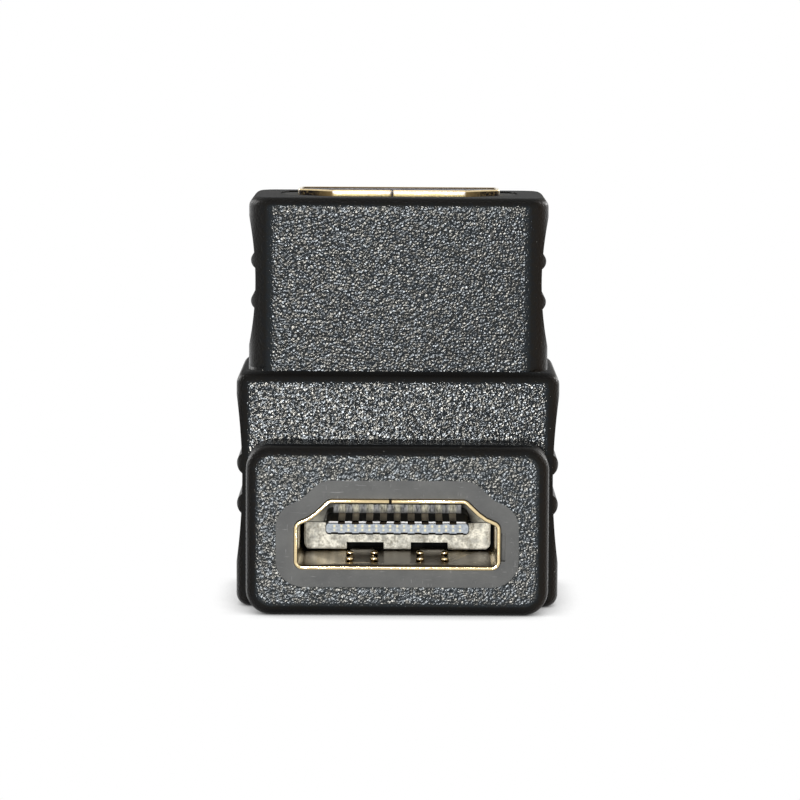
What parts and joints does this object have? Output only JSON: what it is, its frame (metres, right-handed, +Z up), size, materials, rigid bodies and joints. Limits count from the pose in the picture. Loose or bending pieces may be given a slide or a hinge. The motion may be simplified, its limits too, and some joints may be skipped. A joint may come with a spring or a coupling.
{
  "type": "right angle video adapter",
  "caption": "Small black moulded elbow that joins two D-shaped video sockets at a right angle, one facing forwards and one facing up.",
  "frame": {"origin": "on the base plane, under the middle of the adapter's outer box", "axes": "+X to the right seen from the front, -Y out of the front socket, +Z up and out of the top socket"},
  "size_m": [0.0234, 0.0186, 0.0301],
  "materials": {
    "outer_moulding": "black, finely grained moulding",
    "inner_mould": "dark grey, smooth moulding",
    "shell": "thin gold plating on stamped sheet",
    "insulator": "off-white moulded insulator",
    "contact": "gold plated contact strip",
    "circuit_board": "green solder mask"
  },
  "bodies": {
    "root": {"outer_moulding": "outer_moulding", "inner_mould": "inner_mould", "front_shell": "shell", "top_shell": "shell", "front_insulator": "insulator", "top_insulator": "insulator", "circuit_board": "circuit_board", "front_contact_01": "contact", "front_contact_02": "contact", "front_contact_03": "contact", "front_contact_04": "contact", "front_contact_05": "contact", "front_contact_06": "contact", "front_contact_07": "contact", "front_contact_08": "contact", "front_contact_09": "contact", "front_contact_10": "contact", "front_contact_11": "contact", "front_contact_12": "contact", "front_contact_13": "contact", "front_contact_14": "contact", "front_contact_15": "contact", "front_contact_16": "contact", "front_contact_17": "contact", "front_contact_18": "contact", "front_contact_19": "contact", "top_contact_01": "contact", "top_contact_02": "contact", "top_contact_03": "contact", "top_contact_04": "contact", "top_contact_05": "contact", "top_contact_06": "contact", "top_contact_07": "contact", "top_contact_08": "contact", "top_contact_09": "contact", "top_contact_10": "contact", "top_contact_11": "contact", "top_contact_12": "contact", "top_contact_13": "contact", "top_contact_14": "contact", "top_contact_15": "contact", "top_contact_16": "contact", "top_contact_17": "contact", "top_contact_18": "contact", "top_contact_19": "contact"}
  },
  "joints": []
}
